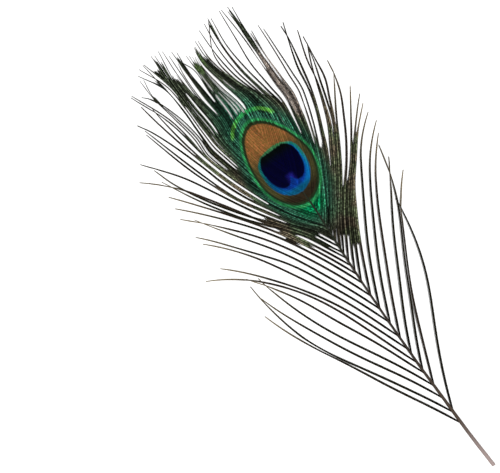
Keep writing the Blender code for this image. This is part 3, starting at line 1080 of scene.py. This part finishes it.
def barb_light(x, y, marks, hatch, fleck, around, calm):
    """How bright a place on a barb is: streaks, flecks, painted shade in the seams between barbs, painted light on the
    halo's right and painted shade on its left, and darker roots.
    """
    open_part = sub(1, calm)
    beside = mul(most(marks["matted"], around), open_part)
    edge = size(marks["across"])

    def lighted(value, least, gain):
        return add(between(beside, *least), mul(value, between(beside, *gain)))

    # Painted shade: the edges of each strip are darkened, more where barbs lie matted or by the eye, as shade in the
    # seams between neighbouring barbs.
    painted_seam_shade = add(mul(rise(edge, 0.3, 0.75), 0.42), mul(rise(edge, 0.15, 0.5), beside, 0.57))
    dash_place = vector(mul(marks["run"], DASH_STEPS), mul(marks["row"], DASH_ROW))
    dash = sub(mul(rise(noise(dash_place, 1, 3), 0.36, 0.64), 1.15), 0.53)
    bright = lighted(rise(marks["tone"], 0.15, 0.85), *TONE_LIGHT)
    bright = mul(bright, lighted(hatch, *HATCH_LIGHT), lighted(fleck, *FLECK_LIGHT))
    bright = mul(bright, sub(1, painted_seam_shade), add(1, mul(beside, dash)), BARB_LIGHT)
    # Painted light and shade: round the eye the barbs are made lighter towards the right and darker towards the left.
    painted_side_light = mul(around, open_part, between(rise(x, -12, 12), -0.3, 0.3))
    bright = mul(bright, add(1, painted_side_light, mul(beside, 0.3)))
    height, slope = CREST_SLANT
    across, along = CREST
    crest = band(add(x, mul(sub(y, height), slope)), *across)
    bright = mul(bright, add(1, mul(crest, band(y, *along), 0.75)))
    root = mul(fall(marks["run"], 3, 28), fall(y, 136, 146))
    return mul(bright, between(root, 1, 0.35))


def barb_finish(colours):
    """The barbs: dark rods, brown and olive barbules, and the eye's colours where they lie."""
    material, tree, shader = new_finish("barbs")
    marks = {
        key: put(tree, "ShaderNodeAttribute", output="Fac", attribute_name=key)
        for key in ("tone", "across", "place", "pale", "matted", "run", "row")
    }
    here = feather_place(tree)
    parts = put(tree, "ShaderNodeSeparateXYZ", {"Vector": here})
    x = parts.outputs["X"]
    y = add(parts.outputs["Y"], between(marks["tone"], -0.2, 0.2))
    slanted = sub(marks["run"], mul(size(marks["across"]), HATCH_SLANT))
    hatch_place = vector(mul(slanted, HATCH_STEPS), mul(marks["row"], HATCH_ROW))
    hatch = noise(hatch_place, 1, 1)
    fleck = noise(here, 1.1, 3)
    cloud = noise(here, 0.12, 2)
    thread = thread_pattern(x, y, marks, cloud, colours)
    colour, around, calm = eye_pattern(x, y, colours, thread, fleck)
    bright = barb_light(x, y, marks, hatch, fleck, around, calm)
    rough = between(fleck, 0.42, 0.67)
    coat(tree, shader, colour, bright, rough, 0.01, hatch, 0.5, 0.1 * MM)
    return material


def quill_finish(colours):
    """The shaft: a pale horny quill that darkens upwards, with fine streaks along it."""
    material, tree, shader = new_finish("quill")
    here = feather_place(tree)
    y = put(tree, "ShaderNodeSeparateXYZ", {"Vector": here}, "Y")
    grain = put(tree, "ShaderNodeMapping", {"Vector": here, "Scale": QUILL_GRAIN}, "Vector")
    streak = noise(grain, 1, 4)
    dark = rise(add(y, between(streak, -9, 9)), *QUILL_DARK)
    brown = blend(mul(rise(y, *QUILL_BLACK), 0.65), colours.brown, colours.thread)
    colour = blend(dark, colours.quill, brown)
    under_eye = rise(y, *QUILL_GREEN)
    colour = blend(mul(under_eye, 0.85), colour, colours.moss)
    bright = sub(between(streak, 0.56, 1), mul(under_eye, 0.4))
    coat(tree, shader, colour, bright, between(streak, 0.35, 0.6), 0.1, streak, 0.3, 0.05 * MM)
    return material


# ---------------------------------------------------------------- quill


def quill_ring(bm, y, share=1.0, sink=0.0):
    """Points round the shaft: rounded above, with a shallow groove along its underside."""
    radius = float(np.interp(y, SHAFT_Y, SHAFT_RADIUS)) * share
    low, high, drop = SHAFT_SINK
    middle = max(float(arch(0, y)), radius / share * QUILL_FLAT) - drop * float(smooth(y, low, high))
    x = float(np.interp(y, SHAFT_Y, SHAFT_X))
    grooved = GROOVE * float(smooth(y, *GROOVE_START))
    ring = []
    for i in range(QUILL_SIDES):
        turn = 2 * math.pi * i / QUILL_SIDES
        under = max(0.0, -math.cos(turn)) ** GROOVE_POWER
        reach = radius * (1 - grooved * under)
        up = max(reach * math.cos(turn), -radius * QUILL_FLAT)
        ring.append(bm.verts.new(to_frame((x + reach * math.sin(turn), y + sink, middle + up))))
    return ring


def bridge(bm, low, high):
    """Faces between two rings of points."""
    for i in range(QUILL_SIDES):
        j = (i + 1) % QUILL_SIDES
        bm.faces.new((low[i], low[j], high[j], high[i]))


def add_mesh(name, bm, material):
    """A plain mesh object in the scene with this material."""
    mesh = bpy.data.meshes.new(name)
    bm.to_mesh(mesh)
    bm.free()
    mesh.materials.append(material)
    item = bpy.data.objects.new(name, mesh)
    bpy.context.scene.collection.objects.link(item)
    return item


def make_quill(colours):
    """A tapering shaft from the cut end to under the eye, with a pit in the cut end."""
    bm = bmesh.new()
    heights = np.append(np.arange(0, SHAFT_Y[-1], QUILL_STEP), SHAFT_Y[-1])
    rings = [quill_ring(bm, float(y)) for y in heights]
    for low, high in zip(rings, rings[1:]):
        bridge(bm, low, high)
    rim = quill_ring(bm, 0.0, RIM_SHARE)
    pit = quill_ring(bm, 0.0, PIT_SHARE, PIT_DEPTH)
    bridge(bm, rim, rings[0])
    bridge(bm, pit, rim)
    bm.faces.new(pit)
    bm.faces.new(rings[-1])
    bmesh.ops.recalc_face_normals(bm, faces=bm.faces)
    quill = add_mesh("quill", bm, quill_finish(colours))
    quill.data.shade_smooth()
    quill.data.set_sharp_from_angle(angle=QUILL_SHARP)
    place_piece(quill)


# ---------------------------------------------------------------- stage


def make_table(settings):
    """A plain pale table top, level with the feather's underside."""
    bm = bmesh.new()
    bmesh.ops.create_grid(bm, x_segments=1, y_segments=1, size=TABLE_HALF)
    material, _, shader = new_finish("table")
    shader.inputs["Base Color"].default_value = (*settings.floor, 1)
    shader.inputs["Roughness"].default_value = 0.9
    shader.inputs["Specular IOR Level"].default_value = 0.1
    add_mesh("table", bm, material)


def make_light(scene, settings):
    """White light from all round, a lamp above, and one from the lower left of the picture."""
    world = bpy.data.worlds.new("white")
    world.use_nodes = True
    background = world.node_tree.nodes["Background"]
    background.inputs["Color"].default_value = (1, 1, 1, 1)
    background.inputs["Strength"].default_value = settings.sky
    scene.world = world
    lamps = (
        ("overhead", settings.overhead, settings.overhead_width, STEEP_FALL),
        ("side", settings.side, settings.side_width, SHADOW_FALL),
    )
    for name, energy, width, way in lamps:
        lamp = bpy.data.lights.new(name, "SUN")
        lamp.energy = energy
        lamp.angle = width
        holder = bpy.data.objects.new(name, lamp)
        holder.rotation_euler = Vector(way).to_track_quat("-Z", "Y").to_euler()
        scene.collection.objects.link(holder)


def make_camera(scene):
    """A camera straight above, turned so that the feather's tips point up and to the left."""
    data = bpy.data.cameras.new("camera")
    data.lens = LENS
    data.sensor_width = SENSOR
    data.clip_start = 0.01
    data.clip_end = 20
    camera = bpy.data.objects.new("camera", data)
    height = VIEW_HEIGHT + VIEW_WIDTH * LENS / SENSOR
    camera.location = (VIEW_CENTRE[0] * MM, VIEW_CENTRE[1] * MM, height * MM)
    camera.rotation_euler = (0, 0, math.radians(VIEW_TURN))
    scene.collection.objects.link(camera)
    scene.camera = camera


# ---------------------------------------------------------------- operators


def make_side(context, side, loose, heights, fan, crown, lean_table, seeds):
    """The three pieces of one side: its loose barbs, its crown, and the barbs that fill the gaps."""
    sizes = context.scene.feather_sizes
    rng = np.random.default_rng(sizes.seed + (side > 0))
    tree = bpy.data.node_groups.get("barbs") or barb_tree(barb_finish(context.scene.feather_colours))
    plans = side_plans(side, loose, heights, fan, crown, lean_table, rng, sizes)
    barbs, fillers = side_barbs(side, plans, rng, sizes)
    name = "left" if side < 0 else "right"
    first = len(loose) + len(fan)
    parts = (("barbs", barbs[:first]), ("crown_barbs", barbs[first:]), ("eye_barbs", fillers))
    for (part, grown), seed in zip(parts, seeds):
        grow(f"{name}_{part}", grown, tree, sizes, seed)


class FEATHER_OT_quill(bpy.types.Operator):
    """Makes the shaft, from the cut quill to under the eye"""

    bl_idname = "feather.quill"
    bl_label = "Quill"

    def execute(self, context):
        make_quill(context.scene.feather_colours)
        return {"FINISHED"}


class FEATHER_OT_left_barbs(bpy.types.Operator):
    """Makes the barbs on the left of the shaft"""

    bl_idname = "feather.left_barbs"
    bl_label = "Left barbs"

    def execute(self, context):
        make_side(context, -1, LEFT_BARBS, LEFT_FAN_HEIGHTS, LEFT_FAN, LEFT_CROWN, LEFT_LEAN, (11, 12, 13))
        return {"FINISHED"}


class FEATHER_OT_right_barbs(bpy.types.Operator):
    """Makes the barbs on the right of the shaft"""

    bl_idname = "feather.right_barbs"
    bl_label = "Right barbs"

    def execute(self, context):
        make_side(context, 1, RIGHT_BARBS, RIGHT_FAN_HEIGHTS, RIGHT_FAN, RIGHT_CROWN, RIGHT_LEAN, (14, 15, 16))
        return {"FINISHED"}


class FEATHER_OT_stage(bpy.types.Operator):
    """Sets the pale table, the soft light and the camera that looks straight down"""

    bl_idname = "feather.stage"
    bl_label = "Table, light and camera"

    def execute(self, context):
        scene = context.scene
        make_table(scene.stage_settings)
        make_light(scene, scene.stage_settings)
        make_camera(scene)
        scene.view_settings.view_transform = "Standard"
        return {"FINISHED"}


class FEATHER_PT_panel(bpy.types.Panel):
    """Lists the sizes, the colours and the steps"""

    bl_label = "Peacock eye feather"
    bl_space_type = "VIEW_3D"
    bl_region_type = "UI"
    bl_category = "Feather"

    def draw(self, context):
        for group in GROUPS:
            settings = getattr(context.scene, group)
            box = self.layout.box()
            for name in settings.__annotations__:
                box.prop(settings, name)
        for step in STEPS:
            self.layout.operator(step.bl_idname)


STEPS = (FEATHER_OT_stage, FEATHER_OT_quill, FEATHER_OT_left_barbs, FEATHER_OT_right_barbs)
GROUPS = {"feather_sizes": FeatherSizes, "feather_colours": FeatherColours, "stage_settings": StageSettings}


def register():
    for item in (*GROUPS.values(), *STEPS, FEATHER_PT_panel):
        bpy.utils.register_class(item)
    for name, group in GROUPS.items():
        setattr(bpy.types.Scene, name, PointerProperty(type=group))


def unregister():
    for name in GROUPS:
        delattr(bpy.types.Scene, name)
    for item in reversed((*GROUPS.values(), *STEPS, FEATHER_PT_panel)):
        bpy.utils.unregister_class(item)


def main():
    register()
    bpy.ops.feather.stage()
    bpy.ops.feather.quill()
    bpy.ops.feather.left_barbs()
    bpy.ops.feather.right_barbs()


if __name__ == "__main__":
    main()
